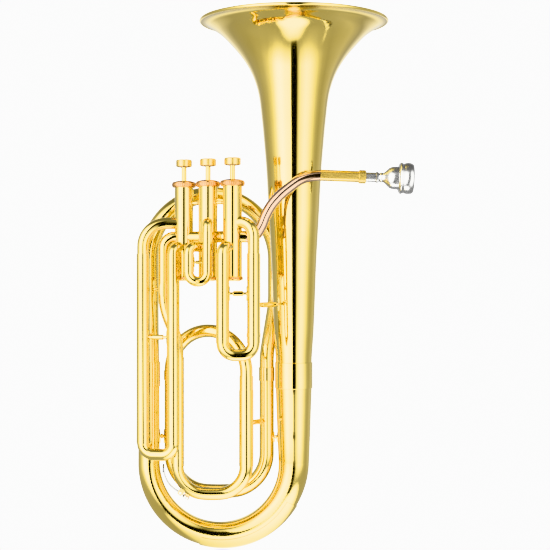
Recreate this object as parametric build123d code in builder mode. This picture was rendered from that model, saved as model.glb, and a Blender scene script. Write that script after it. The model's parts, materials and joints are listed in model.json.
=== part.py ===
from build123d import *
import os
from math import cos, hypot, pi, sin

# Three-valve baritone horn, upright bell.  Millimetres, +Z up, +X to the player's mouthpiece,
# +Y away from the hand side.  The origin is under the middle of the outline, at its lowest point.

os.makedirs("parts", exist_ok=True)

# ---- driving dimensions ----------------------------------------------------------------
HEIGHT = 648.9          # top of the bell rim
WALL = 0.8              # wall of the bell, the bows and the branches
THIN = 0.5              # wall of the cylindrical valve and slide tubing
RUN = 0.05              # radial running clearance of pistons, legs, shank and pins
SOLDER = 0.02           # radial room for solder between an elbow and its sleeve
GAP = 0.3               # clearance between pieces of different bodies
BAND = 0.8              # how far a ferrule stands above its tube

BELL_AXIS = (24.7, 0)
BELL_OUTLINE = (        # depth below the rim, outer radius
    (2.2, 112.9), (7, 105), (16, 91.5), (27, 80), (48, 62.3), (67, 51.3), (89, 44),
    (122, 39.5), (156, 36.3), (187, 33.8), (241, 31), (295, 28), (381, 24.6), (418, 22.2),
)
BELL_END_Z = 213
RIM_BEAD = 2.0
RIM_LAND = 0.1          # how much of the bead is dressed flat

LEFT_AXIS = (-153.4, 0)
JOIN_RADIUS = 22.2      # bell tail and bottom bow inside the bell ferrule
BOW_LEFT_RADIUS = 12.9
BOW_MIDDLE_RADIUS = 15.6
GUARD_LIFT = 0.06
GUARD_THICK = 0.9
BOW_SPAN = (BELL_AXIS[0] - LEFT_AXIS[0]) / 2
BOW_Z = BOW_SPAN + BOW_MIDDLE_RADIUS + GUARD_LIFT + GUARD_THICK + 0.02
BELL_FERRULE = (196.6, 228.5)
LEFT_FERRULE = (199, 229)

TOP_BOW_Z = 355.8
TOP_RIGHT_AXIS = (1.5, 31)

SECOND_Y = 8
SECOND_LEFT = (-126.6, SECOND_Y)
SECOND_RIGHT = (-8.75, SECOND_Y)
SECOND_CORNER = 47
SECOND_BOTTOM_Z = 68.8
SECOND_LEFT_RADIUS = 8.5
SECOND_RIGHT_RADIUS = 9.0
BRANCH_FERRULE = (204.9, 221.8)
CROOK_Z = 218
CROOK_FERRULE = (206, 218)

TUNING_Y = -24.5
TUNING_LEFT = (-116.3, TUNING_Y)
TUNING_RIGHT = (-33.5, TUNING_Y)
TUNING_CORNER = 33.5
TUNING_BOTTOM_Z = 70.5
TUNING_FERRULE = (104, 115)
TUNING_WIDE_RADIUS = 8.1        # outside of the wider inner leg
TUNING_STEP_Z = 195.8

LEG_RADIUS = 7.15               # outside of the inner slide legs and slide bows
SLEEVE_INNER = LEG_RADIUS + RUN
SLEEVE_OUTER = 7.7
SMALL_LEG = 6.0                 # second slide
SMALL_SLEEVE = 6.55
KNUCKLE = 7.0                   # outside of the valve knuckles
ELBOW_END_Z = 355               # where the elbows end and the inner slide legs may begin
SLEEVE_TOP_Z = 360.8

VALVE_STEP = (29.7, -15)
VALVE_2 = (-78.7, -45)
VALVE_1 = (VALVE_2[0] + VALVE_STEP[0], VALVE_2[1] + VALVE_STEP[1])
VALVE_3 = (VALVE_2[0] - VALVE_STEP[0], VALVE_2[1] - VALVE_STEP[1])
VALVES = (VALVE_1, VALVE_2, VALVE_3)
CASING_OUTER = 11.25
PISTON_RADIUS = 9.8
CASING_INNER = PISTON_RADIUS + RUN
CASING_Z = (330.8, 445)
PORT_HIGH, PORT_MAIN, PORT_LOW = 398, 381, 369
PORT_BORE = 6.3
STROKE = 16.5
CASING_POST_Z = 422             # the two posts between neighbouring casings
TOP_CAP = (441, 448.8)
TOP_CAP_RADIUS = 14.25
BOTTOM_CAP = (328.6, 334)
BOTTOM_CAP_RADIUS = 12.1
PISTON_Z = (360, 428)
BOSS_Z = 441.5
STEM_RADIUS = 2.95
STEM_TOP_Z = 471
BUTTON_FELT = (465.6, 467.5)
CAP_FELT_TOP_Z = 444.9
BUTTON_Z = (466.1, 474.5)
BUTTON_RADIUS = 9.65
SPRING_RADIUS = 7.4
SPRING_WIRE = 0.5

FIRST_LEFT, FIRST_RIGHT = (-60, -77), (-23.7, -74)
FIRST_BOTTOM_Z, FIRST_FERRULE, FIRST_CORNER = 241.4, (255.5, 262.3), 14
SECOND_SLIDE_LEFT, SECOND_SLIDE_RIGHT = (-100.9, -64.5), (-78.5, -64.5)
SECOND_SLIDE_BOTTOM_Z, SECOND_SLIDE_FERRULE, SECOND_SLIDE_CORNER = 327.7, (339, 343.8), 11.1
THIRD_LEFT, THIRD_RIGHT = (-157.5, -36), (-120.2, -46)
THIRD_BOTTOM_Z, THIRD_FERRULE, THIRD_CORNER = 119.8, (133.4, 144.3), 14

PIPE_Y = -50
PIPE_RADIUS = 6.2
PIPE_TILT = 2.2                 # degrees the receiver points down towards the mouthpiece
RECEIVER_X = (55.8, 109.8)
RECEIVER_RADIUS = 6.75
RECEIVER_RING = 8.3             # its length
MOUTH_END_X = 167.0

HINGE = (-113.0, 72.0)          # water key pivot, X and Z, on the tuning bow
PIN_RADIUS = 1.0

STATIONS = 6                    # sections in each quarter turn of a tapered bow


# ---- shared geometry -------------------------------------------------------------------
def save(builder, label):
    """Name a finished piece and write it."""
    builder.part.label = label
    export_step(builder.part, f"parts/{label}.step")


def level(axis, z):
    """The plane across an upright tube."""
    return Plane(origin=(*axis, z), z_dir=(0, 0, 1))


def bar(points, bends, radius, mode=Mode.ADD):
    """A round bar along straight runs joined by tangent bends."""
    with BuildLine() as route:
        if bends:
            FilletPolyline(*points, radius=bends)
        else:
            Line(*points)
    path = route.wire()
    with BuildSketch(Plane(origin=path @ 0, z_dir=path % 0)) as disc:
        Circle(radius)
    sweep(sections=disc.sketch, path=path, mode=mode)


def pipe(points, bends, outer, inner):
    """A round pipe of even bore along straight runs joined by tangent bends."""
    with BuildLine() as route:
        if bends:
            FilletPolyline(*points, radius=bends)
        else:
            Line(*points)
    path = route.wire()
    with BuildSketch(Plane(origin=path @ 0, z_dir=path % 0)) as ring:
        Circle(outer)
        Circle(inner, mode=Mode.SUBTRACT)
    sweep(sections=ring.sketch, path=path)


def turn(leg_a, leg_b, end_z, rise, corner=None):
    """Planes round a half turn from leg_a to leg_b; rise is 1 for an arch and -1 for a bow."""
    start, finish = Vector(*leg_a, end_z), Vector(*leg_b, end_z)
    half = (finish - start).length / 2
    corner = corner or half
    across = (finish - start).normalized()
    up = Vector(0, 0, rise)
    flat = across.cross(up).normalized()
    places = []
    for side, centre in ((0, start + across * corner), (1, finish - across * corner)):
        for step in range(STATIONS + 1):
            if side == 1 and step == 0 and half - corner < 0.01:
                continue
            angle = (side + step / STATIONS) * pi / 2
            point = centre - across * (corner * cos(angle)) + up * (corner * sin(angle))
            heading = across * sin(angle) + up * cos(angle)
            places.append(Plane(origin=point, x_dir=flat, z_dir=heading))
    return places


def upright(axis, levels, flat):
    """Planes across an upright leg, turned to match the bow it runs into."""
    return [Plane(origin=(*axis, z), x_dir=flat, z_dir=(0, 0, 1)) for z in levels]


def taper(places, first, last):
    """Radii that grow evenly from the first place to the last."""
    count = len(places) - 1
    return [first * (last / first) ** (index / count) for index in range(count + 1)]


def horn(runs, wall, mode=Mode.ADD):
    """Tapered tubing: each run is a list of (plane, outer radius).  A wall of 0 leaves it solid."""
    for inset in (0, wall) if wall else (0,):
        for run in runs:
            sections = []
            for place, radius in run:
                with BuildSketch(place) as disc:
                    Circle(radius - inset)
                sections.append(disc.sketch)
            loft(sections=sections, mode=Mode.SUBTRACT if inset else mode)


def ring(axis, z_low, z_high, outer, inner):
    """A band round an upright tube."""
    with BuildSketch(level(axis, z_low)) as disc:
        Circle(outer)
        Circle(inner, mode=Mode.SUBTRACT)
    extrude(to_extrude=disc.sketch, amount=z_high - z_low)


def toward(axis_a, axis_b):
    """Unit direction from one upright axis to another, and the distance between them."""
    dx, dy = axis_b[0] - axis_a[0], axis_b[1] - axis_a[1]
    reach = hypot(dx, dy)
    return Vector(dx / reach, dy / reach, 0), reach


# ---- bell ------------------------------------------------------------------------------
def inset(points, amount):
    """The outline moved inwards along its own normals."""
    moved = []
    for index, (depth, radius) in enumerate(points):
        before = points[max(index - 1, 0)]
        after = points[min(index + 1, len(points) - 1)]
        run, rise = after[0] - before[0], after[1] - before[1]
        size = hypot(run, rise)
        moved.append((depth + amount * rise / size, radius - amount * run / size))
    return moved


def bell_points(outline):
    """Depths and radii as points in the bell's own half plane."""
    return [(radius, HEIGHT - depth) for depth, radius in outline]


BELL_LINE = Axis((*BELL_AXIS, 0), (0, 0, 1))
BELL_PLANE = Plane(origin=(*BELL_AXIS, 0), x_dir=(1, 0, 0), z_dir=(0, -1, 0))
BEAD_CENTRE = (BELL_OUTLINE[0][1] + 1.1, HEIGHT + RIM_LAND - RIM_BEAD)

with BuildPart() as bell:
    outside = bell_points(BELL_OUTLINE)
    inside = bell_points(inset(BELL_OUTLINE, WALL))
    with BuildSketch(BELL_PLANE):
        with BuildLine():
            Spline(*outside)
            Line(outside[-1], (JOIN_RADIUS, BELL_END_Z))
            Line((JOIN_RADIUS, BELL_END_Z), (JOIN_RADIUS - WALL, BELL_END_Z))
            Line((JOIN_RADIUS - WALL, BELL_END_Z), inside[-1])
            Spline(*inside)
            Line(inside[0], outside[0])
        make_face()
        with Locations(BEAD_CENTRE):
            Circle(RIM_BEAD)
            Circle(RIM_BEAD - WALL, mode=Mode.SUBTRACT)
    revolve(axis=BELL_LINE)
    with Locations((*BELL_AXIS, HEIGHT)):
        Cylinder(130, 4, align=(Align.CENTER, Align.CENTER, Align.MIN), mode=Mode.SUBTRACT)
save(bell, "bell")

with BuildPart() as bell_core:
    with BuildSketch(BELL_PLANE):
        with BuildLine():
            Spline(*outside)
            Line(outside[-1], (0, outside[-1][1]))
            Line((0, outside[-1][1]), (0, outside[0][1]))
            Line((0, outside[0][1]), outside[0])
        make_face()
    revolve(axis=BELL_LINE)

with BuildPart() as bell_rim_wire:
    with BuildSketch(BELL_PLANE):
        with Locations(BEAD_CENTRE):
            Circle(RIM_BEAD - WALL)
    revolve(axis=BELL_LINE)
save(bell_rim_wire, "bell_rim_wire")

with BuildPart() as bell_ferrule:
    ring(BELL_AXIS, *BELL_FERRULE, JOIN_RADIUS + BAND, JOIN_RADIUS)
    chamfer(bell_ferrule.edges().filter_by(GeomType.CIRCLE).group_by(SortBy.RADIUS)[-1], 0.4)
save(bell_ferrule, "bell_ferrule")

# ---- bottom bow ------------------------------------------------------------------------
bow_places = turn(BELL_AXIS, LEFT_AXIS, BOW_Z, -1)
bow_flat = bow_places[0].x_dir
middle = len(bow_places) // 2
bow_radii = taper(bow_places[: middle + 1], 18.9, BOW_MIDDLE_RADIUS)
bow_radii += taper(bow_places[middle:], BOW_MIDDLE_RADIUS, 13.3)[1:]
bow_right = list(zip(
    upright(BELL_AXIS, (212.5, 197, 139, BOW_Z), bow_flat), (JOIN_RADIUS, JOIN_RADIUS, 20.2, 18.9)))
bow_left = list(zip(
    upright(LEFT_AXIS, (BOW_Z, 150, 196, 213.5), bow_flat),
    (13.3, 13.1, BOW_LEFT_RADIUS, BOW_LEFT_RADIUS)))
bow_turn = list(zip(bow_places, bow_radii))
bow_runs = [bow_right[:2], bow_right[1:3], bow_right[2:], bow_turn, bow_left[:2], bow_left[1:3], bow_left[2:]]

with BuildPart() as bottom_bow:
    horn(bow_runs, WALL)
save(bottom_bow, "bottom_bow")

with BuildPart() as bow_core:
    horn(bow_runs, 0)

GUARD_SPAN = slice(2, 8)        # the bow sections that the guard plate covers
with BuildPart() as bow_guard:
    guard_run = [(place, radius + GUARD_LIFT + GUARD_THICK) for place, radius in bow_turn[GUARD_SPAN]]
    horn([guard_run], GUARD_THICK)
    with Locations(Plane(origin=((BELL_AXIS[0] + LEFT_AXIS[0]) / 2, 0, BOW_Z), z_dir=(0, 1, 0))):
        Cylinder(BOW_SPAN + 4, 60, mode=Mode.SUBTRACT)
save(bow_guard, "bow_guard")

# ---- left branch, top bow, right branch ---------------------------------------------------
with BuildPart() as left_branch:
    branch_places = upright(LEFT_AXIS, (214.5, 232, TOP_BOW_Z), (0, 1, 0))
    branch_run = list(zip(branch_places, (BOW_LEFT_RADIUS, 12.6, 11.4)))
    horn([branch_run[:2], branch_run[1:]], WALL)
save(left_branch, "left_branch")

with BuildPart() as branch_core:
    horn([branch_run[1:]], 0)

with BuildPart() as top_bow:
    top_places = turn(LEFT_AXIS, TOP_RIGHT_AXIS, TOP_BOW_Z, 1)
    horn([list(zip(top_places, taper(top_places, 11.4, SECOND_RIGHT_RADIUS)))], WALL)
save(top_bow, "top_bow")

with BuildPart() as right_branch:
    pipe(
        [(*TOP_RIGHT_AXIS, TOP_BOW_Z), (*TOP_RIGHT_AXIS, 300), (*SECOND_RIGHT, 238), (*SECOND_RIGHT, 213.5)],
        [60, 50], SECOND_RIGHT_RADIUS, SECOND_RIGHT_RADIUS - WALL)
save(right_branch, "right_branch")

# ---- second bow and return crook -----------------------------------------------------------
second_end_z = SECOND_BOTTOM_Z + SECOND_CORNER
with BuildPart() as second_bow:
    second_places = turn(SECOND_RIGHT, SECOND_LEFT, second_end_z, -1, SECOND_CORNER)
    second_turn = list(zip(second_places, taper(second_places, SECOND_RIGHT_RADIUS, SECOND_LEFT_RADIUS)))
    second_flat = second_places[0].x_dir
    horn([
        [(place, SECOND_RIGHT_RADIUS) for place in upright(SECOND_RIGHT, (213, second_end_z), second_flat)],
        second_turn,
        [(place, SECOND_LEFT_RADIUS) for place in upright(SECOND_LEFT, (second_end_z, 211.5), second_flat)],
    ], WALL)
save(second_bow, "second_bow")

with BuildPart() as return_crook:
    crook_places = turn(SECOND_LEFT, TUNING_RIGHT, CROOK_Z, 1)
    crook_flat = crook_places[0].x_dir
    horn([
        [(place, SECOND_LEFT_RADIUS) for place in upright(SECOND_LEFT, (212, CROOK_Z), crook_flat)],
        list(zip(crook_places, taper(crook_places, SECOND_LEFT_RADIUS, 7.6))),
        [(place, 7.6) for place in upright(TUNING_RIGHT, (CROOK_Z, TUNING_STEP_Z + 1), crook_flat)],
    ], WALL)
save(return_crook, "return_crook")

with BuildPart() as tube_ferrules:
    ring(LEFT_AXIS, *LEFT_FERRULE, BOW_LEFT_RADIUS + BAND, BOW_LEFT_RADIUS)
    ring(SECOND_RIGHT, *BRANCH_FERRULE, SECOND_RIGHT_RADIUS + BAND, SECOND_RIGHT_RADIUS)
    ring(SECOND_LEFT, *CROOK_FERRULE, SECOND_LEFT_RADIUS + BAND, SECOND_LEFT_RADIUS)
    chamfer(tube_ferrules.edges().filter_by(GeomType.CIRCLE).filter_by(
        lambda edge: round(edge.radius, 2) in (
            round(BOW_LEFT_RADIUS + BAND, 2), round(SECOND_RIGHT_RADIUS + BAND, 2),
            round(SECOND_LEFT_RADIUS + BAND, 2))), 0.3)
save(tube_ferrules, "tube_ferrules")

# ---- outlet tube from valve 3 --------------------------------------------------------------
OUTLET_X = -132.5
OUTLET_BENDS = [12.5, 80, 70]
OUTLET_ROUTE = [
    (VALVE_3[0] - 6, VALVE_3[1], PORT_MAIN), (OUTLET_X, VALVE_3[1], PORT_MAIN),
    (OUTLET_X, VALVE_3[1], 297), (*TUNING_LEFT, 255), (*TUNING_LEFT, 229),
]
with BuildPart() as outlet_tube:
    pipe(OUTLET_ROUTE, OUTLET_BENDS, KNUCKLE, KNUCKLE - THIN)
    with Locations((*VALVE_3, PORT_MAIN)):
        Cylinder(CASING_OUTER, 30, mode=Mode.SUBTRACT)
save(outlet_tube, "outlet_tube")

with BuildPart() as outlet_core:
    bar(OUTLET_ROUTE, OUTLET_BENDS, KNUCKLE)

PATCH_Z = 318
with BuildPart() as outlet_patch:
    with BuildSketch(Plane(origin=(OUTLET_X, VALVE_3[1], PATCH_Z), x_dir=(1, 0, 0), z_dir=(0, -1, 0))) as oval:
        Ellipse(5.6, 8.8)
    extrude(to_extrude=oval.sketch, amount=KNUCKLE + 3)
    with Locations((OUTLET_X, VALVE_3[1], PATCH_Z)):
        Cylinder(KNUCKLE + 0.9, 30, mode=Mode.INTERSECT)
    add(outlet_core.part, mode=Mode.SUBTRACT)

# ---- main tuning slide ----------------------------------------------------------------------
TUNING_SLEEVE_WIDE = TUNING_WIDE_RADIUS + RUN
with BuildPart() as tuning_sleeves:
    sleeve_low = TUNING_FERRULE[1] + GAP
    ring(TUNING_LEFT, sleeve_low, 228, SLEEVE_OUTER, SLEEVE_INNER)
    ring(TUNING_LEFT, 228, 236, SLEEVE_OUTER, KNUCKLE)
    ring(TUNING_RIGHT, sleeve_low, TUNING_STEP_Z, TUNING_SLEEVE_WIDE + THIN, TUNING_SLEEVE_WIDE)
    ring(TUNING_RIGHT, TUNING_STEP_Z, 213, 8.25, 7.6)
save(tuning_sleeves, "tuning_sleeves")

tuning_end_z = TUNING_BOTTOM_Z + TUNING_CORNER
tuning_places = turn(TUNING_LEFT, TUNING_RIGHT, tuning_end_z, -1, TUNING_CORNER)
tuning_run = list(zip(tuning_places, taper(tuning_places, LEG_RADIUS, TUNING_WIDE_RADIUS)))
with BuildPart() as tuning_bow:
    horn([tuning_run], THIN)
save(tuning_bow, "tuning_bow")

with BuildPart() as tuning_legs:
    ring(TUNING_LEFT, tuning_end_z, 222, LEG_RADIUS, LEG_RADIUS - THIN)
    ring(TUNING_RIGHT, tuning_end_z, 194, TUNING_WIDE_RADIUS, TUNING_WIDE_RADIUS - THIN)
save(tuning_legs, "tuning_legs")

with BuildPart() as tuning_ferrules:
    ring(TUNING_LEFT, *TUNING_FERRULE, SLEEVE_OUTER, LEG_RADIUS)
    ring(TUNING_RIGHT, *TUNING_FERRULE, TUNING_SLEEVE_WIDE + THIN, TUNING_WIDE_RADIUS)
save(tuning_ferrules, "tuning_ferrules")


# ---- valve slides ---------------------------------------------------------------------------
def port_elbow(valve, leg, port_z, bend, end_z, radius):
    """A knuckle out of a valve casing that turns down into a slide leg."""
    heading, reach = toward(valve, leg)
    start = Vector(*valve, port_z) + heading * 6
    corner = Vector(*leg, port_z)
    pipe([start, corner, Vector(*leg, end_z)], [bend or reach - CASING_OUTER - 0.05], radius, radius - THIN)
    with Locations((*valve, port_z)):
        Cylinder(CASING_OUTER, 30, mode=Mode.SUBTRACT)


def slide_bow(leg_a, leg_b, end_z, bottom_z, corner, radius):
    """The U of a slide: two straight ends and a bow."""
    places = [(*leg_a, end_z), (*leg_a, bottom_z), (*leg_b, bottom_z), (*leg_b, end_z)]
    pipe(places, [corner, corner], radius, radius - THIN)


def slide_legs(leg_a, leg_b, low_z, high_z, radius):
    """The two inner legs that run in the sleeves."""
    for leg in (leg_a, leg_b):
        ring(leg, low_z, high_z, radius, radius - THIN)


with BuildPart() as first_slide_elbows:
    port_elbow(VALVE_1, FIRST_LEFT, PORT_LOW, None, ELBOW_END_Z, KNUCKLE)
with BuildPart() as first_elbow_right:
    port_elbow(VALVE_1, FIRST_RIGHT, PORT_HIGH, 17.5, ELBOW_END_Z, KNUCKLE)
with BuildPart() as first_slide_tubes:
    add(first_slide_elbows.part)
    add(first_elbow_right.part)
    for leg in (FIRST_LEFT, FIRST_RIGHT):
        ring(leg, ELBOW_END_Z, SLEEVE_TOP_Z, SLEEVE_OUTER, KNUCKLE + SOLDER)
        ring(leg, FIRST_FERRULE[1] + GAP, ELBOW_END_Z, SLEEVE_OUTER, SLEEVE_INNER)
        ring(leg, FIRST_FERRULE[1] + GAP, 267, SLEEVE_OUTER + 0.35, SLEEVE_OUTER)
save(first_slide_tubes, "first_slide_tubes")

with BuildPart() as first_slide_bow:
    slide_bow(FIRST_LEFT, FIRST_RIGHT, FIRST_FERRULE[0] + 0.4, FIRST_BOTTOM_Z, FIRST_CORNER, LEG_RADIUS)
save(first_slide_bow, "first_slide_bow")

with BuildPart() as first_slide_legs:
    slide_legs(FIRST_LEFT, FIRST_RIGHT, FIRST_FERRULE[0] + 0.4, 350, LEG_RADIUS)
save(first_slide_legs, "first_slide_legs")

with BuildPart() as first_slide_ferrules:
    for leg in (FIRST_LEFT, FIRST_RIGHT):
        ring(leg, *FIRST_FERRULE, SLEEVE_OUTER, LEG_RADIUS)
save(first_slide_ferrules, "first_slide_ferrules")

with BuildPart() as second_elbow_right:
    port_elbow(VALVE_2, SECOND_SLIDE_RIGHT, PORT_HIGH, None, 382, SMALL_LEG)
with BuildPart() as second_elbow_left:
    port_elbow(VALVE_2, SECOND_SLIDE_LEFT, PORT_LOW, 8.5, 359, SMALL_LEG)
with BuildPart() as second_slide_tubes:
    add(second_elbow_right.part)
    add(second_elbow_left.part)
    ring(SECOND_SLIDE_RIGHT, SECOND_SLIDE_FERRULE[1] + GAP, 386.4, SMALL_SLEEVE, SMALL_LEG + RUN)
    ring(SECOND_SLIDE_LEFT, SECOND_SLIDE_FERRULE[1] + GAP, 360.4, SMALL_SLEEVE, SMALL_LEG + RUN)
save(second_slide_tubes, "second_slide_tubes")

with BuildPart() as second_slide_bow:
    slide_bow(
        SECOND_SLIDE_LEFT, SECOND_SLIDE_RIGHT, SECOND_SLIDE_FERRULE[0] + 0.2, SECOND_SLIDE_BOTTOM_Z,
        SECOND_SLIDE_CORNER, SMALL_LEG)
save(second_slide_bow, "second_slide_bow")

with BuildPart() as second_slide_legs:
    slide_legs(SECOND_SLIDE_LEFT, SECOND_SLIDE_RIGHT, SECOND_SLIDE_FERRULE[0] + 0.2, 358, SMALL_LEG)
save(second_slide_legs, "second_slide_legs")

with BuildPart() as second_slide_ferrules:
    for leg in (SECOND_SLIDE_LEFT, SECOND_SLIDE_RIGHT):
        ring(leg, *SECOND_SLIDE_FERRULE, SMALL_SLEEVE, SMALL_LEG)
save(second_slide_ferrules, "second_slide_ferrules")

knob_x = (SECOND_SLIDE_LEFT[0] + SECOND_SLIDE_RIGHT[0]) / 2
knob_seat = Plane(
    origin=(knob_x, SECOND_SLIDE_LEFT[1] - SMALL_LEG - 2.2, SECOND_SLIDE_BOTTOM_Z + 0.4), z_dir=(0, -1, 0))
with BuildPart() as second_slide_knob:
    with Locations(knob_seat):
        Cylinder(1.3, 6, align=(Align.CENTER, Align.CENTER, Align.MAX))
        Sphere(2.2)
    bar([(*SECOND_SLIDE_LEFT, SECOND_SLIDE_BOTTOM_Z), (*SECOND_SLIDE_RIGHT, SECOND_SLIDE_BOTTOM_Z)],
        None, SMALL_LEG, Mode.SUBTRACT)
save(second_slide_knob, "second_slide_knob")

with BuildPart() as third_elbow_right:
    port_elbow(VALVE_3, THIRD_RIGHT, PORT_LOW, None, ELBOW_END_Z, KNUCKLE)
with BuildPart() as third_elbow_left:
    port_elbow(VALVE_3, THIRD_LEFT, PORT_HIGH, 28, ELBOW_END_Z, KNUCKLE)
with BuildPart() as third_slide_tubes:
    add(third_elbow_right.part)
    add(third_elbow_left.part)
    for leg in (THIRD_LEFT, THIRD_RIGHT):
        ring(leg, ELBOW_END_Z, SLEEVE_TOP_Z, SLEEVE_OUTER, KNUCKLE + SOLDER)
        ring(leg, THIRD_FERRULE[1] + GAP, ELBOW_END_Z, SLEEVE_OUTER, SLEEVE_INNER)
save(third_slide_tubes, "third_slide_tubes")

with BuildPart() as third_slide_bow:
    slide_bow(THIRD_LEFT, THIRD_RIGHT, THIRD_FERRULE[0] + 0.6, THIRD_BOTTOM_Z, THIRD_CORNER, LEG_RADIUS)
save(third_slide_bow, "third_slide_bow")

with BuildPart() as third_slide_legs:
    slide_legs(THIRD_LEFT, THIRD_RIGHT, THIRD_FERRULE[0] + 0.6, 262, LEG_RADIUS)
save(third_slide_legs, "third_slide_legs")

with BuildPart() as third_slide_ferrules:
    for leg in (THIRD_LEFT, THIRD_RIGHT):
        ring(leg, *THIRD_FERRULE, SLEEVE_OUTER, LEG_RADIUS)
save(third_slide_ferrules, "third_slide_ferrules")

# ---- valves ---------------------------------------------------------------------------------
to_next, valve_reach = toward(VALVE_1, VALVE_2)
from_player, _ = toward((0, 0), (1, 0))
CASING_PORTS = (        # for each valve: headings of air in, air out, high port, low port
    (from_player, to_next, toward(VALVE_1, FIRST_RIGHT)[0], toward(VALVE_1, FIRST_LEFT)[0]),
    (-to_next, to_next, toward(VALVE_2, SECOND_SLIDE_RIGHT)[0], toward(VALVE_2, SECOND_SLIDE_LEFT)[0]),
    (-to_next, -from_player, toward(VALVE_3, THIRD_LEFT)[0], toward(VALVE_3, THIRD_RIGHT)[0]),
)


def radial_bore(axis, z, heading, radius, mode):
    """A bore from the valve's axis outwards."""
    with Locations(Plane(origin=(*axis, z), z_dir=heading)):
        Cylinder(radius, 14, align=(Align.CENTER, Align.CENTER, Align.MIN), mode=mode)


for number, (axis, ports) in enumerate(zip(VALVES, CASING_PORTS), start=1):
    air_in, air_out, high, low = ports
    with BuildPart() as casing:
        ring(axis, *CASING_Z, CASING_OUTER, CASING_INNER)
        for heading, port_z in ((air_in, PORT_MAIN), (air_out, PORT_MAIN), (high, PORT_HIGH), (low, PORT_LOW)):
            radial_bore(axis, port_z, heading, PORT_BORE if number != 2 else PORT_BORE - 0.8, Mode.SUBTRACT)
    save(casing, f"valve_{number}_casing")

    with BuildPart() as piston:
        with Locations((*axis, PISTON_Z[0])):
            Cylinder(PISTON_RADIUS, PISTON_Z[1] - PISTON_Z[0], align=(Align.CENTER, Align.CENTER, Align.MIN))
            Cylinder(5.5, BOSS_Z - PISTON_Z[0], align=(Align.CENTER, Align.CENTER, Align.MIN))
        with Locations((*axis, PISTON_Z[0])):
            Cylinder(PISTON_RADIUS - 1.3, 11, align=(Align.CENTER, Align.CENTER, Align.MIN), mode=Mode.SUBTRACT)
        for passage_z, headings in (
                (PORT_MAIN, (air_in, air_out)), (PORT_MAIN + STROKE, (air_in, high)),
                (PORT_MAIN + 2 * STROKE - 1, (low, air_out))):
            for heading in headings:
                radial_bore(axis, passage_z, heading, PORT_BORE, Mode.SUBTRACT)
            with Locations((*axis, passage_z)):
                Cylinder(PORT_BORE + 0.4, 2 * PORT_BORE + 0.5, mode=Mode.SUBTRACT)
        with Locations((*axis, PISTON_Z[1] + 1)):
            Cylinder(STEM_RADIUS, 20, align=(Align.CENTER, Align.CENTER, Align.MIN), mode=Mode.SUBTRACT)
    save(piston, f"valve_{number}_piston")

    with BuildPart() as stem:
        with Locations((*axis, PISTON_Z[1] + 1)):
            Cylinder(STEM_RADIUS, STEM_TOP_Z - PISTON_Z[1] - 1, align=(Align.CENTER, Align.CENTER, Align.MIN))
    save(stem, f"valve_{number}_stem")

    with BuildPart() as button:
        with BuildSketch(Plane(origin=(*axis, 0), x_dir=(1, 0, 0), z_dir=(0, -1, 0))):
            with BuildLine():
                Polyline(
                    (0, STEM_TOP_Z), (STEM_RADIUS, STEM_TOP_Z), (STEM_RADIUS, BUTTON_FELT[1] + 0.1),
                    (7.6, BUTTON_FELT[1] + 0.1), (7.6, BUTTON_Z[0]),
                    (BUTTON_RADIUS - 0.6, BUTTON_Z[0]), (BUTTON_RADIUS, BUTTON_Z[0] + 0.6),
                    (BUTTON_RADIUS, BUTTON_Z[1] - 1.4))
                ThreePointArc(
                    (BUTTON_RADIUS, BUTTON_Z[1] - 1.4), (BUTTON_RADIUS - 0.42, BUTTON_Z[1] - 0.42),
                    (BUTTON_RADIUS - 1.4, BUTTON_Z[1]))
                Polyline(
                    (BUTTON_RADIUS - 1.4, BUTTON_Z[1]), (BUTTON_RADIUS - 1.9, BUTTON_Z[1] - 0.5),
                    (0, BUTTON_Z[1] - 0.5), (0, STEM_TOP_Z))
            make_face()
        revolve(axis=Axis((*axis, 0), (0, 0, 1)))
    save(button, f"valve_{number}_button")

    with BuildPart() as felts:
        ring(axis, *BUTTON_FELT, 7.5, STEM_RADIUS + RUN)
        ring(axis, BOSS_Z, CAP_FELT_TOP_Z, 8.4, STEM_RADIUS + RUN)
    save(felts, f"valve_{number}_felts")

    with BuildPart() as spring:
        rise = PISTON_Z[0] - BOTTOM_CAP[0] - 2.0 - 2 * SPRING_WIRE - 0.8
        foot = (*axis, BOTTOM_CAP[0] + 2.4 + SPRING_WIRE)
        with BuildLine() as coil:
            Helix(pitch=rise / 6, height=rise, radius=SPRING_RADIUS, center=foot)
        wire = coil.wire()
        with BuildSketch(Plane(origin=wire @ 0, z_dir=wire % 0)) as strand:
            Circle(SPRING_WIRE)
        sweep(sections=strand.sketch, path=wire, is_frenet=True)
    save(spring, f"valve_{number}_spring")

with BuildPart() as valve_knuckles:
    for start in (VALVE_1, VALVE_2):
        along = Plane(origin=(*start, PORT_MAIN), z_dir=to_next)
        with BuildSketch(along) as section:
            Circle(KNUCKLE)
            Circle(KNUCKLE - THIN, mode=Mode.SUBTRACT)
        extrude(to_extrude=section.sketch, amount=valve_reach)
    for axis in VALVES:
        with Locations((*axis, PORT_MAIN)):
            Cylinder(CASING_OUTER, 30, mode=Mode.SUBTRACT)
save(valve_knuckles, "valve_knuckles")

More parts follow.
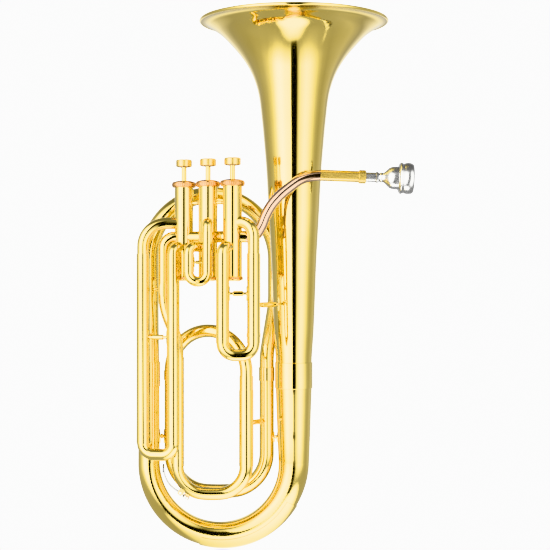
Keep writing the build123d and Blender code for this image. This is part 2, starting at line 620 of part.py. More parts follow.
with BuildPart() as top_caps:
    for axis in VALVES:
        with BuildSketch(Plane(origin=(*axis, 0), x_dir=(1, 0, 0), z_dir=(0, -1, 0))) as cap:
            with BuildLine():
                Polyline(
                    (CASING_OUTER + RUN, TOP_CAP[0]), (TOP_CAP_RADIUS - 0.8, TOP_CAP[0]),
                    (TOP_CAP_RADIUS, TOP_CAP[0] + 0.8), (TOP_CAP_RADIUS, TOP_CAP[1] - 2.2),
                    (TOP_CAP_RADIUS - 0.9, TOP_CAP[1] - 1.2), (10.4, TOP_CAP[1] - 0.6), (9.6, TOP_CAP[1]),
                    (STEM_RADIUS + 0.6, TOP_CAP[1]), (STEM_RADIUS + 0.6, CASING_Z[1] + 0.2),
                    (CASING_OUTER + RUN, CASING_Z[1] + 0.2), close=True)
            make_face()
        revolve(profiles=cap.sketch, axis=Axis((*axis, 0), (0, 0, 1)))
save(top_caps, "top_caps")

with BuildPart() as bottom_caps:
    for axis in VALVES:
        with BuildSketch(Plane(origin=(*axis, 0), x_dir=(1, 0, 0), z_dir=(0, -1, 0))) as cap:
            with BuildLine():
                Polyline(
                    (1.5, BOTTOM_CAP[0]), (9.5, BOTTOM_CAP[0]), (10.2, BOTTOM_CAP[0] + 0.7),
                    (BOTTOM_CAP_RADIUS - 0.5, BOTTOM_CAP[0] + 0.7), (BOTTOM_CAP_RADIUS, BOTTOM_CAP[0] + 1.2),
                    (BOTTOM_CAP_RADIUS, BOTTOM_CAP[1] - 0.5), (BOTTOM_CAP_RADIUS - 0.5, BOTTOM_CAP[1]),
                    (CASING_OUTER + RUN, BOTTOM_CAP[1]), (CASING_OUTER + RUN, BOTTOM_CAP[0] + 2),
                    (1.5, BOTTOM_CAP[0] + 2), close=True)
            make_face()
        revolve(profiles=cap.sketch, axis=Axis((*axis, 0), (0, 0, 1)))
save(bottom_caps, "bottom_caps")

# ---- leadpipe and receiver ---------------------------------------------------------------------
slope = pi * PIPE_TILT / 180
AIR_LINE = Vector(cos(slope), 0, -sin(slope))
RECEIVER_START = Vector(RECEIVER_X[0], PIPE_Y, 454.6)


def on_air_line(x):
    """The point of the receiver's axis at a given X."""
    return RECEIVER_START + AIR_LINE * ((x - RECEIVER_X[0]) / cos(slope))


INLET_X = VALVE_1[0] + CASING_OUTER
with BuildPart() as leadpipe:
    pipe(
        [on_air_line(72), on_air_line(28.5), (-7, -53, 419.5), (-16, VALVE_1[1], PORT_MAIN),
         (INLET_X + 0.5, VALVE_1[1], PORT_MAIN)],
        [63, 66, 18], PIPE_RADIUS, PIPE_RADIUS - THIN)
save(leadpipe, "leadpipe")

with BuildPart() as inlet_knuckle:
    bore = Plane(origin=(*VALVE_1, PORT_MAIN), z_dir=(1, 0, 0))
    with BuildSketch(bore) as section:
        Circle(KNUCKLE)
        Circle(PIPE_RADIUS, mode=Mode.SUBTRACT)
    extrude(to_extrude=section.sketch, amount=CASING_OUTER + 5)
    with Locations((*VALVE_1, PORT_MAIN)):
        Cylinder(CASING_OUTER, 30, mode=Mode.SUBTRACT)
save(inlet_knuckle, "inlet_knuckle")


def spun(points_by_x, label):
    """A piece turned about the receiver's axis from (x, radius) corners."""
    side = Plane(origin=RECEIVER_START, x_dir=AIR_LINE, z_dir=(0, -1, 0))
    with BuildPart() as piece:
        with BuildSketch(side):
            with BuildLine():
                Polyline(*[((x - RECEIVER_X[0]) / cos(slope), r) for x, r in points_by_x], close=True)
            make_face()
        revolve(axis=Axis(RECEIVER_START, AIR_LINE))
    return piece


SHANK_TIP_X, SHANK_TIP, SHANK_MOUTH = 82.0, 5.1, 5.7
receiver = spun((
    (RECEIVER_X[0], PIPE_RADIUS), (72.2, PIPE_RADIUS), (72.2, 4.9), (78, 4.9),
    (SHANK_TIP_X - 1, SHANK_TIP + RUN), (RECEIVER_X[1], SHANK_MOUTH + RUN),
    (RECEIVER_X[1], RECEIVER_RADIUS), (RECEIVER_X[0], RECEIVER_RADIUS)), "receiver")
save(receiver, "receiver")

ring_x = RECEIVER_X[1] - RECEIVER_RING
receiver_ring = spun((
    (ring_x, RECEIVER_RADIUS), (ring_x, 7.6), (ring_x + 0.6, 8.1), (RECEIVER_X[1] - 0.6, 8.1),
    (RECEIVER_X[1], 7.6), (RECEIVER_X[1], RECEIVER_RADIUS)), "receiver_ring")
save(receiver_ring, "receiver_ring")

# ---- mouthpiece --------------------------------------------------------------------------------
mouth_side = Plane(origin=RECEIVER_START, x_dir=AIR_LINE, z_dir=(0, -1, 0))


def at(x, radius):
    """A point of the mouthpiece profile: distance along its axis, and radius."""
    return ((x - RECEIVER_X[0]) / cos(slope), radius)


with BuildPart() as mouthpiece:
    with BuildSketch(mouth_side):
        with BuildLine():
            Polyline(
                at(SHANK_TIP_X, 3.8), at(SHANK_TIP_X, SHANK_TIP), at(RECEIVER_X[1], SHANK_MOUTH),
                at(121.6, 5.9), at(122.2, 6.6), at(124.6, 6.6), at(125.2, 5.5), at(126.2, 5.1))
            Spline(at(126.2, 5.1), at(128.2, 6.1), at(130.2, 5.6))
            Spline(
                at(130.2, 5.6), at(133.5, 8.2), at(138.5, 12.4), at(143.5, 13.6), at(148.6, 13.9),
                tangents=[(1, 0.5), (1, 0.05)])
            Spline(at(148.6, 13.9), at(149.4, 17.4), at(151.9, 19.0), at(154.6, 17.9), at(156.2, 18.2))
            Spline(
                at(156.2, 18.2), at(160.5, 18.9), at(MOUTH_END_X - 2.6, 18.3), at(MOUTH_END_X - 0.3, 16.4),
                at(MOUTH_END_X - 0.6, 13.9), at(MOUTH_END_X - 2.4, 12.8))
            Spline(
                at(MOUTH_END_X - 2.4, 12.8), at(156, 11.6), at(148, 10.1), at(140, 6.6), at(134.5, 3.4))
            Polyline(at(134.5, 3.4), at(131.5, 3.1), at(SHANK_TIP_X, 3.8))
        make_face()
    revolve(axis=Axis(RECEIVER_START, AIR_LINE))
save(mouthpiece, "mouthpiece")

# ---- water key on the tuning bow ------------------------------------------------------------------
corner_centre = Vector(TUNING_LEFT[0] + TUNING_CORNER, TUNING_Y, TUNING_BOTTOM_Z + TUNING_CORNER)
hinge_point = Vector(HINGE[0], TUNING_Y, HINGE[1])
cork_angle = -122.1 * pi / 180
cork_way = Vector(cos(cork_angle), 0, sin(cork_angle))
bow_skin = TUNING_CORNER + LEG_RADIUS + 0.12
key_side = Plane(origin=(0, TUNING_Y, 0), x_dir=(1, 0, 0), z_dir=(0, -1, 0))


def key_point(angle, radius):
    """A point beside the tuning bow: degrees round its left corner, and distance from its centre."""
    turned = angle * pi / 180
    return (corner_centre.X + radius * cos(turned), corner_centre.Z + radius * sin(turned))


with BuildPart() as water_key_saddle:
    for side_y in (-4.7, 3.4):
        with BuildSketch(Plane(origin=(0, TUNING_Y + side_y, 0), x_dir=(1, 0, 0), z_dir=(0, -1, 0))) as ear:
            with BuildLine():
                Polyline(
                    key_point(-138, 37), key_point(-136.2, 46.4), key_point(-130.4, 46.4),
                    key_point(-128.5, 37), close=True)
            make_face()
            with Locations(HINGE):
                Circle(PIN_RADIUS, mode=Mode.SUBTRACT)
        extrude(to_extrude=ear.sketch, amount=-1.3)
    with BuildSketch(Plane(origin=corner_centre + cork_way * 39, z_dir=cork_way)) as nipple:
        Circle(3.1)
        Circle(1.6, mode=Mode.SUBTRACT)
    extrude(to_extrude=nipple.sketch, amount=bow_skin + 1.0 - 39)
    horn([[(place, radius + 0.02) for place, radius in tuning_run[: STATIONS + 1]]], 0, Mode.SUBTRACT)
save(water_key_saddle, "water_key_saddle")

with BuildPart() as water_key_lever:
    with BuildSketch(key_side) as arm:
        with BuildLine():
            Spline(
                HINGE, key_point(-142, 46.2), key_point(-152, 48.6), key_point(-166, 50.4),
                key_point(-181, 51.2))
        trace(line_width=1.8)
        with BuildLine():
            Line(HINGE, key_point(-122.1, bow_skin + 4.6))
        trace(line_width=1.8)
        with Locations(HINGE):
            Circle(2.2)
            Circle(PIN_RADIUS + RUN, mode=Mode.SUBTRACT)
    extrude(to_extrude=arm.sketch, amount=1.7, both=True)
    touch = Vector(key_point(-177, 51)[0], TUNING_Y, key_point(-177, 51)[1])
    with BuildSketch(Plane(origin=touch + Vector(0.9, 0, 0), x_dir=(0, 1, 0), z_dir=(-1, 0, 0.06))) as pad:
        Ellipse(3.6, 5.2)
    extrude(to_extrude=pad.sketch, amount=1.8)
    cup_base = corner_centre + cork_way * (bow_skin + 2.2)
    with BuildSketch(Plane(origin=cup_base, z_dir=cork_way)) as cup:
        Circle(4.1)
    extrude(to_extrude=cup.sketch, amount=3.2)
    with BuildSketch(Plane(origin=cup_base, z_dir=cork_way)) as pocket:
        Circle(3.4)
    extrude(to_extrude=pocket.sketch, amount=2.2, mode=Mode.SUBTRACT)
save(water_key_lever, "water_key_lever")

with BuildPart() as water_key_cork:
    with BuildSketch(Plane(origin=corner_centre + cork_way * (bow_skin + 1.0 + GAP), z_dir=cork_way)):
        Circle(3.4)
    extrude(amount=2.2 - 1.0 - GAP + 2.2)
save(water_key_cork, "water_key_cork")

with BuildPart() as water_key_screw:
    with Locations(Plane(origin=hinge_point - Vector(0, 4.7, 0), z_dir=(0, 1, 0))):
        Cylinder(PIN_RADIUS, 9.4, align=(Align.CENTER, Align.CENTER, Align.MIN))
        Cylinder(1.9, 1.1, align=(Align.CENTER, Align.CENTER, Align.MAX))
save(water_key_screw, "water_key_screw")


# ---- braces ------------------------------------------------------------------------------------
def brace(end_a, radius_a, end_b, radius_b, z, cut_a=None, cut_b=None, slim=False):
    """A turned post between two upright tubes with a diamond foot on each."""
    heading, reach = toward(end_a, end_b)
    start = Vector(*end_a, z)
    span = (radius_a + 0.3, reach - radius_b - 0.3)
    length = span[1] - span[0]
    thick = 2.2 if slim else 3.0
    thin = 1.3 if slim else 1.6
    with BuildPart() as post:
        with BuildSketch(Plane(origin=start, x_dir=heading, z_dir=(heading.Y, -heading.X, 0))) as profile:
            with BuildLine():
                inner_a, inner_b = span[0] + length * 0.2, span[1] - length * 0.2
                Polyline((span[0] - 2, 0), (span[0] - 2, thin), (inner_a, thin), (inner_a + 0.6, thick))
                Line((inner_a + 0.6, thick), (inner_b - 0.6, thick))
                Polyline((inner_b - 0.6, thick), (inner_b, thin), (span[1] + 2, thin), (span[1] + 2, 0))
                Line((span[1] + 2, 0), (span[0] - 2, 0))
            make_face()
        revolve(profiles=profile.sketch, axis=Axis(start, heading))
    feet = []
    for origin, way, radius, in ((start, heading, radius_a), (start + heading * reach, -heading, radius_b)):
        with BuildPart() as foot:
            with BuildSketch(Plane(origin=origin, x_dir=(0, 0, 1), z_dir=way)) as diamond:
                half_high, half_wide = (6, 3.6) if slim else (8.4, 4.6)
                with BuildLine():
                    Polyline((half_high, 0), (0, half_wide), (-half_high, 0), (0, -half_wide), close=True)
                make_face()
            extrude(to_extrude=diamond.sketch, amount=radius + 4)
            with Locations(origin):
                Cylinder(radius + 0.9, 30, mode=Mode.INTERSECT)
        feet.append(foot.part)
    with BuildPart() as whole:
        add(post.part)
        for piece in feet:
            add(piece)
        for origin, radius, cut in ((start, radius_a, cut_a), (start + heading * reach, radius_b, cut_b)):
            if cut is None:
                with Locations(origin):
                    Cylinder(radius, 60, mode=Mode.SUBTRACT)
            else:
                add(cut, mode=Mode.SUBTRACT)
    return whole.part


brace_parts = [
    brace(FIRST_LEFT, SLEEVE_OUTER, FIRST_RIGHT, SLEEVE_OUTER, 313.8),
    brace(FIRST_RIGHT, SLEEVE_OUTER, (6.0, -17.9), 0.2, 300, cut_b=bell_core.part),
    brace(THIRD_LEFT, SLEEVE_OUTER, THIRD_RIGHT, SLEEVE_OUTER, 260.9),
    brace(SECOND_SLIDE_LEFT, SMALL_SLEEVE, SECOND_SLIDE_RIGHT, SMALL_SLEEVE, 350.5, slim=True),
    brace(LEFT_AXIS, 13.1, SECOND_LEFT, SECOND_LEFT_RADIUS, 137, cut_a=bow_core.part),
    brace(BELL_AXIS, 20.2, SECOND_RIGHT, SECOND_RIGHT_RADIUS, 136, cut_a=bow_core.part, slim=True),
    brace(TUNING_RIGHT, TUNING_SLEEVE_WIDE + THIN, SECOND_RIGHT, SECOND_RIGHT_RADIUS, 155.9),
    brace(THIRD_LEFT, SLEEVE_OUTER, LEFT_AXIS, 13.1, 157, cut_b=bow_core.part, slim=True),
    brace((OUTLET_X, VALVE_3[1]), KNUCKLE, LEFT_AXIS, 11.7, PATCH_Z, cut_a=outlet_core.part,
          cut_b=branch_core.part, slim=True),
    brace(VALVE_1, CASING_OUTER, VALVE_2, CASING_OUTER, CASING_POST_Z, slim=True),
    brace(VALVE_2, CASING_OUTER, VALVE_3, CASING_OUTER, CASING_POST_Z, slim=True),
    outlet_patch.part,
]
with BuildPart() as braces:
    for piece in brace_parts:
        add(piece)
save(braces, "braces")
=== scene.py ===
import json
import math
import bmesh
import bpy
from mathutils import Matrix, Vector


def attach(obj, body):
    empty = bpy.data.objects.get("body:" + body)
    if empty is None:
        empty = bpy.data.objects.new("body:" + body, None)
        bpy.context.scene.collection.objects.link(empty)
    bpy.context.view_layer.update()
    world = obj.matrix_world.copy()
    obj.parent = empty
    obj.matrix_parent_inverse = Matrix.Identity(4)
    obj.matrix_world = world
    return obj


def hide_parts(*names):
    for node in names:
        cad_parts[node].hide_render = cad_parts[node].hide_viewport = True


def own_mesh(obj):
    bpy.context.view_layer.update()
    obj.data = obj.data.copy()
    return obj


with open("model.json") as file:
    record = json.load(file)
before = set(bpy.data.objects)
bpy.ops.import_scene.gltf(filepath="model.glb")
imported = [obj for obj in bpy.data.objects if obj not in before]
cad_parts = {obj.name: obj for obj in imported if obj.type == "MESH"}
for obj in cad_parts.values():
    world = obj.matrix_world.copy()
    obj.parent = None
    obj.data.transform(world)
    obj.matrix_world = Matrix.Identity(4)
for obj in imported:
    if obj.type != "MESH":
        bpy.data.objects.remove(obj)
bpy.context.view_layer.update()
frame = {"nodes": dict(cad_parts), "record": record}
NODES = frame["nodes"]


MM = 0.001

# ---- materials -------------------------------------------------------------------------
RIPPLE = 0.0015             # how far polishing leaves the metal from truly smooth
COAT_ROUGHNESS = 0.04


def new_material(name):
    """A node material with a principled shader, ready for its textures."""
    made = bpy.data.materials.new(name)
    made.use_nodes = True
    shader = made.node_tree.nodes["Principled BSDF"]
    return made, made.node_tree, shader


def ramp(tree, source, stops):
    """A colour ramp fed from a value."""
    node = tree.nodes.new("ShaderNodeValToRGB")
    while len(node.color_ramp.elements) < len(stops):
        node.color_ramp.elements.new(0.5)
    for element, (place, colour) in zip(node.color_ramp.elements, stops):
        element.position = place
        element.color = (*colour, 1.0)
    tree.links.new(source, node.inputs["Fac"])
    return node.outputs["Color"]


def noise(tree, scale, detail=3.0):
    """Noise in the object's own coordinates."""
    place = tree.nodes.new("ShaderNodeTexCoord")
    node = tree.nodes.new("ShaderNodeTexNoise")
    node.inputs["Scale"].default_value = scale
    node.inputs["Detail"].default_value = detail
    tree.links.new(place.outputs["Object"], node.inputs["Vector"])
    return node.outputs["Fac"]


def metal(name, light, dark, rough=(0.05, 0.10), coat=0.35):
    """Polished metal under clear lacquer: slow colour drift, uneven polish and a faint ripple."""
    made, tree, shader = new_material(name)
    shader.inputs["Metallic"].default_value = 1.0
    shader.inputs["Coat Weight"].default_value = coat
    shader.inputs["Coat Roughness"].default_value = COAT_ROUGHNESS
    drift = noise(tree, 14.0)
    tree.links.new(ramp(tree, drift, ((0.35, dark), (0.65, light))), shader.inputs["Base Color"])
    polish = noise(tree, 60.0, 5.0)
    spread = tree.nodes.new("ShaderNodeMapRange")
    spread.inputs["To Min"].default_value, spread.inputs["To Max"].default_value = rough
    tree.links.new(polish, spread.inputs["Value"])
    tree.links.new(spread.outputs["Result"], shader.inputs["Roughness"])
    bump = tree.nodes.new("ShaderNodeBump")
    bump.inputs["Strength"].default_value = RIPPLE
    bump.inputs["Distance"].default_value = MM
    tree.links.new(noise(tree, 90.0, 2.0), bump.inputs["Height"])
    tree.links.new(bump.outputs["Normal"], shader.inputs["Normal"])
    return made


def soft(name, light, dark, scale, rough, depth):
    """Felt or cork: mottled colour over a rough, bumpy skin."""
    made, tree, shader = new_material(name)
    shader.inputs["Roughness"].default_value = rough
    mottle = ramp(tree, noise(tree, scale, 6.0), ((0.3, dark), (0.7, light)))
    tree.links.new(mottle, shader.inputs["Base Color"])
    bump = tree.nodes.new("ShaderNodeBump")
    bump.inputs["Strength"].default_value = depth
    bump.inputs["Distance"].default_value = MM
    tree.links.new(noise(tree, scale * 2.5, 4.0), bump.inputs["Height"])
    tree.links.new(bump.outputs["Normal"], shader.inputs["Normal"])
    return made


BRASS = metal("lacquered_brass", (0.85, 0.67, 0.21), (0.80, 0.62, 0.17))
SATIN = metal("satin_brass", (0.84, 0.62, 0.18), (0.76, 0.54, 0.14), rough=(0.24, 0.32))
ROSE = metal("rose_brass", (0.60, 0.44, 0.32), (0.48, 0.32, 0.21), rough=(0.10, 0.16))
COPPER = metal("copper_tone", (0.60, 0.33, 0.11), (0.48, 0.24, 0.07), rough=(0.18, 0.28))
SILVER = metal("silver_plate", (0.52, 0.52, 0.51), (0.44, 0.44, 0.43), rough=(0.20, 0.30), coat=0.0)
DULLED = metal("dulled_silver", (0.30, 0.30, 0.29), (0.20, 0.20, 0.19), rough=(0.20, 0.30), coat=0.0)
STEEL = metal("ground_steel", (0.62, 0.62, 0.61), (0.52, 0.52, 0.51), rough=(0.22, 0.32), coat=0.0)
FELT = soft("pressed_felt", (0.20, 0.14, 0.12), (0.09, 0.06, 0.05), 700.0, 0.95, 0.6)
CORK = soft("cork", (0.62, 0.42, 0.26), (0.36, 0.22, 0.13), 420.0, 0.85, 0.5)
BY_SLOT = {
    "lacquered_brass": BRASS, "rose_brass": ROSE, "copper_tone": COPPER, "silver_plate": SILVER,
    "steel": STEEL, "felt": FELT, "cork": CORK,
}
for part in frame["record"]["subparts"]:
    mesh = NODES[part["node"]].data
    mesh.materials.clear()
    mesh.materials.append(BY_SLOT[part["material_slot"]])
for name in ("receiver", "receiver_ring", "valve_1_button", "valve_2_button", "valve_3_button"):
    NODES[name].data.materials[0] = SATIN
NODES["water_key_lever"].data.materials[0] = DULLED


# ---- shapes ----------------------------------------------------------------------------
def add_piece(name, verts, faces, body, slot, material):
    """A smooth-shaded mesh piece that rides on a CAD body."""
    data = bpy.data.meshes.new(name)
    data.from_pydata([tuple(c * MM for c in v) for v in verts], [], faces)
    data.polygons.foreach_set("use_smooth", [True] * len(faces))
    data.materials.append(material)
    data.update()
    made = bpy.data.objects.new(name, data)
    bpy.context.scene.collection.objects.link(made)
    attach(made, body)
    return made


def closed_rows(rows, steps):
    """Faces between rings of vertices, where the last ring joins the first."""
    faces = []
    for row in range(rows):
        above = (row + 1) % rows
        for step in range(steps):
            beside = (step + 1) % steps
            faces.append((row * steps + step, row * steps + beside,
                          above * steps + beside, above * steps + step))
    return faces


def lathe(profile, axis, steps):
    """Vertices and faces of a closed line of (radius, height) points turned about an upright axis."""
    verts = []
    for radius, height in profile:
        for step in range(steps):
            turn = 2 * math.pi * step / steps
            verts.append((axis[0] + radius * math.cos(turn), axis[1] + radius * math.sin(turn), height))
    return verts, closed_rows(len(profile), steps)


def smooth_line(points, per_span):
    """Points along a smooth curve through the given ones."""
    line = []
    for index in range(len(points) - 1):
        p0, p1 = points[max(index - 1, 0)], points[index]
        p2, p3 = points[index + 1], points[min(index + 2, len(points) - 1)]
        reach = [max(math.dist(a, b), 1e-6) ** 0.5 for a, b in ((p0, p1), (p1, p2), (p2, p3))]
        for step in range(per_span):
            t = step / per_span
            spot = []
            for c0, c1, c2, c3 in zip(p0, p1, p2, p3):
                m1 = m2 = c2 - c1
                if index > 0:
                    m1 = reach[1] * ((c1 - c0) / reach[0] - (c2 - c0) / (reach[0] + reach[1])) + (c2 - c1)
                if index < len(points) - 2:
                    m2 = reach[1] * ((c3 - c2) / reach[2] - (c3 - c1) / (reach[1] + reach[2])) + (c2 - c1)
                spot.append((2 * t**3 - 3 * t**2 + 1) * c1 + (t**3 - 2 * t**2 + t) * m1
                            + (-2 * t**3 + 3 * t**2) * c2 + (t**3 - t**2) * m2)
            line.append(tuple(spot))
    line.append(tuple(points[-1]))
    return line


# ---- bell: the spun shell with its rolled rim, turned finely enough for clean reflections ------
HEIGHT = 648.9
BELL_AXIS = (24.7, 0)
BELL_OUTLINE = (        # depth below the rim, outer radius
    (7, 105), (16, 91.5), (27, 80), (48, 62.3), (67, 51.3), (89, 44), (122, 39.5), (156, 36.3),
    (187, 33.8), (241, 31), (295, 28), (381, 24.6), (418, 22.2), (435.9, 22.2),
)
BELL_WALL = 0.8
BEAD = (114.0, HEIGHT - 1.9, 2.0)       # rolled rim: distance from the axis, height, radius
outer = [(radius, HEIGHT - depth) for depth, radius in smooth_line(BELL_OUTLINE, 10)]
inner = []
for index, (radius, height) in enumerate(outer):
    before, after = outer[max(index - 1, 0)], outer[min(index + 1, len(outer) - 1)]
    run, rise = after[0] - before[0], after[1] - before[1]
    size = math.hypot(run, rise)
    inner.append((radius + BELL_WALL * rise / size, height - BELL_WALL * run / size))
bead = []
for turned in range(-130, 156, 11):
    angle = math.radians(turned)
    bead.append((BEAD[0] + BEAD[2] * math.cos(angle), BEAD[1] + BEAD[2] * math.sin(angle)))
profile = list(reversed(outer)) + bead + inner
bell_piece = add_piece("bell_shell", *lathe(profile, BELL_AXIS, 256), "horn", "lacquered_brass", BRASS)
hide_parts("bell", "bell_rim_wire")


def cord(points, radius, sides=12):
    """Vertices and faces of a round wire with closed ends; the radius is one number or one for each point."""
    line = [Vector(point) for point in points]
    reach = radius if isinstance(radius, list) else [radius] * len(line)
    verts, faces = [], []
    side = None
    for index, point in enumerate(line):
        heading = (line[min(index + 1, len(line) - 1)] - line[max(index - 1, 0)]).normalized()
        side = heading.orthogonal() if side is None else side - heading * side.dot(heading)
        side.normalize()
        other = heading.cross(side)
        for step in range(sides):
            turn = 2 * math.pi * step / sides
            verts.append(point + (side * math.cos(turn) + other * math.sin(turn)) * reach[index])
    for row in range(len(line) - 1):
        for step in range(sides):
            a, b = row * sides + step, row * sides + (step + 1) % sides
            faces.append((a, b, b + sides, a + sides))
    faces.append(tuple(reversed(range(sides))))
    faces.append(tuple(range((len(line) - 1) * sides, len(line) * sides)))
    return verts, faces


TOOTH = 0.28


def knurl(axis, z_low, z_high, radius, teeth):
    """Vertices and faces of a toothed band round an upright cap."""
    verts = []
    count = teeth * 4
    rows = ((radius - 0.2, z_low), (radius, z_low + 0.35), (radius, z_high - 0.35), (radius - 0.2, z_high),
            (radius - 0.8, z_high), (radius - 0.8, z_low))
    for row, (reach, z) in enumerate(rows):
        for step in range(count):
            tooth = row in (1, 2) and step % 4 in (1, 2)
            radial = reach + (TOOTH if tooth else 0.0)
            turn = 2 * math.pi * step / count
            verts.append((axis[0] + radial * math.cos(turn), axis[1] + radial * math.sin(turn), z))
    return verts, closed_rows(len(rows), count)


# ---- leadpipe: one easy curve that widens towards the first valve ---------------------------
pipe_line = smooth_line([       # X, Y, Z and outer radius
    (72, -50, 453.95, 6.2), (57, -50, 454.5, 6.2), (43.3, -50, 453.0, 6.25), (31.3, -50, 448.8, 6.3),
    (19.4, -50.4, 440.6, 6.4), (6.75, -51.4, 429.7, 6.5), (-3.3, -52.6, 417.8, 6.6), (-9.9, -54.4, 405.5, 6.7),
    (-14.6, -57.2, 393.5, 6.75), (-20.5, -59.4, 384.5, 6.8), (-28, -60, 381, 6.8), (-37, -60, 381, 6.8),
], 8)
pipe_mesh = cord([point[:3] for point in pipe_line], [point[3] for point in pipe_line], 64)
leadpipe_piece = add_piece("leadpipe_curve", *pipe_mesh, "horn", "rose_brass", ROSE)
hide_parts("leadpipe")

# ---- knurled bands on the valve caps -------------------------------------------------------
VALVES = ((-49.0, -60), (-78.7, -45), (-108.4, -30))
for number, axis in enumerate(VALVES, start=1):
    for place, z_low, z_high, radius in (("top", 442.4, 446.0, 14.3), ("bottom", 330.2, 333.2, 12.15)):
        add_piece(f"valve_{number}_{place}_knurl", *knurl(axis, z_low, z_high, radius, 44),
                  "horn", "copper_tone", COPPER)

# ---- valve springs, coiled at rest; the real ones close up as the valves go down -----------------
SPRING_Z = 331.5
SPRING_HEIGHT = 27.6
SPRING_RADIUS = 7.4
SPRING_TURNS = 6
for number, axis in enumerate(VALVES, start=1):
    wire = []
    for step in range(241):
        share = step / 240
        turned = 2 * math.pi * SPRING_TURNS * share
        wire.append((axis[0] + SPRING_RADIUS * math.cos(turned), axis[1] + SPRING_RADIUS * math.sin(turned),
                     SPRING_Z + SPRING_HEIGHT * share))
    spring = add_piece(f"valve_{number}_coil", *cord(wire, 0.48, 8), "horn", "steel", STEEL)
    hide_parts(f"valve_{number}_spring")
    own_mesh(spring)

# ---- beaded edge of the guard on the bottom bow ----------------------------------------------
BOW_CENTRE = (-64.35, 105.63)           # X and Z
BOW_SPAN = 89.05
BOW_RADII = (18.9, 15.6, 13.3)          # of the bow's tube at its right, bottom and left
EDGE_OFF = 4.3                          # how far the guard reaches outwards from the tube's middle line
EDGE_LIFT = 0.4
for face in (-1, 1):
    edge = []
    for step in range(61):
        turned = math.radians(30 + 75 * step / 60)
        share = turned / (math.pi / 2)
        first, last = BOW_RADII[:2] if share < 1 else BOW_RADII[1:]
        tube = first * (last / first) ** (share if share < 1 else share - 1)
        edge.append((
            BOW_CENTRE[0] + (BOW_SPAN + EDGE_OFF) * math.cos(turned),
            face * (math.sqrt(tube**2 - EDGE_OFF**2) + EDGE_LIFT),
            BOW_CENTRE[1] - (BOW_SPAN + EDGE_OFF) * math.sin(turned)))
    side = "front" if face < 0 else "back"
    add_piece(f"guard_bead_{side}", *cord(edge, 0.5), "horn", "lacquered_brass", BRASS)

# ---- spring of the water key -------------------------------------------------------------------
KEY_PIN = (-113.0, -24.5, 72.0)
KEY_COIL_RADIUS = 2.6
coil = []
for step in range(8, 91):               # three turns, less the start, where the long arm leaves
    share = step / 90
    turned = 6 * math.pi * share
    coil.append((KEY_PIN[0] + KEY_COIL_RADIUS * math.cos(turned), KEY_PIN[1] + 3.0 - 6.0 * share,
                 KEY_PIN[2] + KEY_COIL_RADIUS * math.sin(turned)))
key_wire = [(-119.5, -21.5, 78.5)] + coil + [(-106.0, -27.5, 70.5)]
add_piece("water_key_spring", *cord(key_wire, 0.32, 8), "tuning_slide", "steel", STEEL)

# ---- stage, light and camera -----------------------------------------------------------
WHITE = 2.5             # the floor and the backdrop as the camera sees them
AMBIENT = 0.55          # reflected brightness away from the lights
LIGHT_ROUND = (         # degrees round from the front, minus to the left, and the brightness there
    (-180, 0.5), (-172, 0.8), (-162, 1.3), (-152, 0.8), (-140, 0.5), (-116, 0.55), (-98, 0.7), (-81, 1.1),
    (-70, 2.5), (-54, 9), (-44, 10), (-30, 7), (-18, 6), (-10.5, 5), (9, 0.7), (15, 0.9), (22, 3), (39, 6),
    (50, 5), (58, 3.4), (66, 2.0), (76, 1.0), (88, 0.65), (100, 0.55), (130, 0.75), (145, 0.5), (152, 0.8),
    (162, 1.3), (172, 0.8), (180, 0.5),
)
MOST = 10               # the brightest that LIGHT_ROUND goes
# The dark strip between the lights: how dark it is by the same degrees, where MOST is full dark.
GAP_ROUND = ((-180, 0), (-12, 0), (-10, 10), (9.5, 10), (11.5, 0), (180, 0))


class Nodes:
    """Shorthand for building value nodes in one tree."""

    def __init__(self, tree):
        self.tree = tree

    def math(self, kind, *values):
        """A sum on numbers or on other nodes' outputs."""
        node = self.tree.nodes.new("ShaderNodeMath")
        node.operation = kind
        for socket, value in zip(node.inputs, values):
            if isinstance(value, (int, float)):
                socket.default_value = value
            else:
                self.tree.links.new(value, socket)
        return node.outputs["Value"]

    def fade(self, value, low, high, to_low=0.0, to_high=1.0):
        """A smooth step from to_low to to_high as the value goes from low to high."""
        node = self.tree.nodes.new("ShaderNodeMapRange")
        node.interpolation_type = "SMOOTHSTEP"
        node.inputs["From Min"].default_value, node.inputs["From Max"].default_value = low, high
        node.inputs["To Min"].default_value, node.inputs["To Max"].default_value = to_low, to_high
        self.tree.links.new(value, node.inputs["Value"])
        return node.outputs["Result"]

    def by_angle(self, angle, stops):
        """The stops' value at an angle that runs from 0 to 1, from the back by the left and the front."""
        greys = [((degrees + 180) / 360, (value / MOST,) * 3) for degrees, value in stops]
        return self.math("MULTIPLY", MOST, ramp(self.tree, angle, greys))

    def studio(self, across, facing, lit, ambient, gap, spot):
        """Brightness by the angle off the front; lit and gap weigh the lights and the dark strip, and spot adds
        painted light on top.
        """
        angle = self.math("MULTIPLY_ADD", self.math("ARCTAN2", across, facing), 0.5 / math.pi, 0.5)
        boxes = self.by_angle(angle, LIGHT_ROUND)
        dark = self.math("MULTIPLY", self.math("MULTIPLY", self.by_angle(angle, GAP_ROUND), 1 / MOST), gap)
        level = self.math("ADD", ambient, self.math("MULTIPLY", self.math("SUBTRACT", boxes, ambient), lit))
        level = self.math("MULTIPLY", level, self.math("SUBTRACT", 1.0, dark))
        return self.math("ADD", level, spot)


def emission(tree, strength):
    """A white emission shader of the given brightness."""
    node = tree.nodes.new("ShaderNodeEmission")
    tree.links.new(strength, node.inputs["Strength"])
    return node.outputs["Emission"]


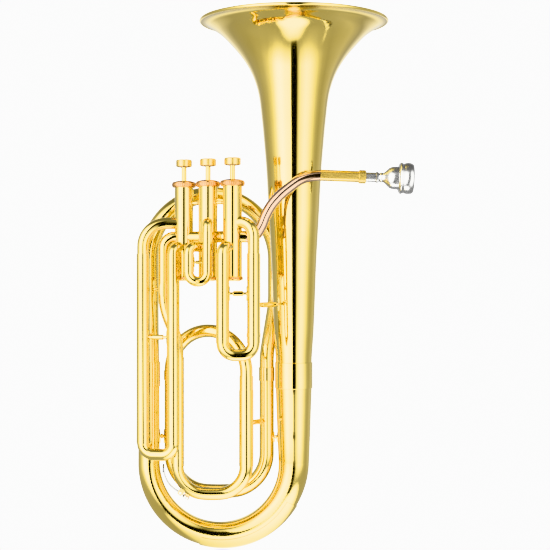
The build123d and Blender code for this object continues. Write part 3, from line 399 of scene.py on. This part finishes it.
def white_to_camera(tree, output, rest):
    """Plain white where it is looked at directly, and the rest shader in every reflection."""
    sight = tree.nodes.new("ShaderNodeLightPath")
    white = tree.nodes.new("ShaderNodeEmission")
    white.inputs["Strength"].default_value = WHITE
    mix = tree.nodes.new("ShaderNodeMixShader")
    tree.links.new(sight.outputs["Is Camera Ray"], mix.inputs["Fac"])
    tree.links.new(rest, mix.inputs[1])
    tree.links.new(white.outputs["Emission"], mix.inputs[2])
    tree.links.new(mix.outputs["Shader"], output)


world = bpy.data.worlds.new("studio")
bpy.context.scene.world = world
world.use_nodes = True
tree = world.node_tree
tree.nodes.clear()
nodes = Nodes(tree)
split = tree.nodes.new("ShaderNodeSeparateXYZ")
tree.links.new(tree.nodes.new("ShaderNodeTexCoord").outputs["Generated"], split.inputs["Vector"])
height = split.outputs["Z"]
level = nodes.studio(
    split.outputs["X"], nodes.math("MULTIPLY", split.outputs["Y"], -1.0),
    nodes.fade(height, 0.45, 0.85, 1.0, 0.0), nodes.fade(height, 0.3, 0.8, AMBIENT, 0.28),
    nodes.fade(height, 0.5, 0.8, 1.0, 0.0), 0.0)
white_to_camera(tree, tree.nodes.new("ShaderNodeOutputWorld").inputs["Surface"], emission(tree, level))

floor_mesh = bpy.data.meshes.new("floor")
bm = bmesh.new()
bmesh.ops.create_grid(bm, x_segments=8, y_segments=8, size=6.0)
bm.to_mesh(floor_mesh)
bm.free()
floor = bpy.data.objects.new("floor", floor_mesh)
bpy.context.scene.collection.objects.link(floor)
floor.location.z = -0.0005
floor_material = bpy.data.materials.new("pale_floor")
floor_material.use_nodes = True
tree = floor_material.node_tree
tree.nodes.clear()
nodes = Nodes(tree)
split = tree.nodes.new("ShaderNodeSeparateXYZ")
tree.links.new(tree.nodes.new("ShaderNodeTexCoord").outputs["Object"], split.inputs["Vector"])
forward = nodes.math("MULTIPLY", split.outputs["Y"], -1.0)
reach = nodes.math("SQRT", nodes.math("ADD", nodes.math("POWER", split.outputs["X"], 2.0),
                                      nodes.math("POWER", forward, 2.0)))
# Painted light on the floor: a bright pool, an oval in front of the horn that glows though no lamp is there,
# which the flare and the bows mirror. In every reflection the floor also glows with the studio's lights and
# dark strip, painted on it.
off_x = nodes.math("DIVIDE", nodes.math("SUBTRACT", split.outputs["X"], 0.01), 0.17)
off_y = nodes.math("DIVIDE", nodes.math("SUBTRACT", forward, 0.13), 0.14)
painted_light_pool = nodes.math("ADD", nodes.math("MULTIPLY", off_x, off_x), nodes.math("MULTIPLY", off_y, off_y))
level = nodes.studio(
    nodes.math("SUBTRACT", split.outputs["X"], BELL_AXIS[0] * MM), nodes.math("SUBTRACT", forward, 0.05),
    nodes.fade(reach, 0.25, 0.75), AMBIENT, nodes.fade(reach, 0.22, 0.27), nodes.fade(painted_light_pool, 0.2, 1.3, 7.0, 0.0))
white_to_camera(tree, tree.nodes.new("ShaderNodeOutputMaterial").inputs["Surface"], emission(tree, level))
floor_mesh.materials.append(floor_material)

scene = bpy.context.scene
scene.view_settings.view_transform = "Khronos PBR Neutral"

camera_data = bpy.data.cameras.new("camera")
camera_data.lens = 90.5
camera_data.sensor_width = 36.0
camera = bpy.data.objects.new("camera", camera_data)
scene.collection.objects.link(camera)
camera.location = (0.0015, -1.7, 0.3355)
camera.rotation_euler = (math.radians(90), 0, 0)
scene.camera = camera
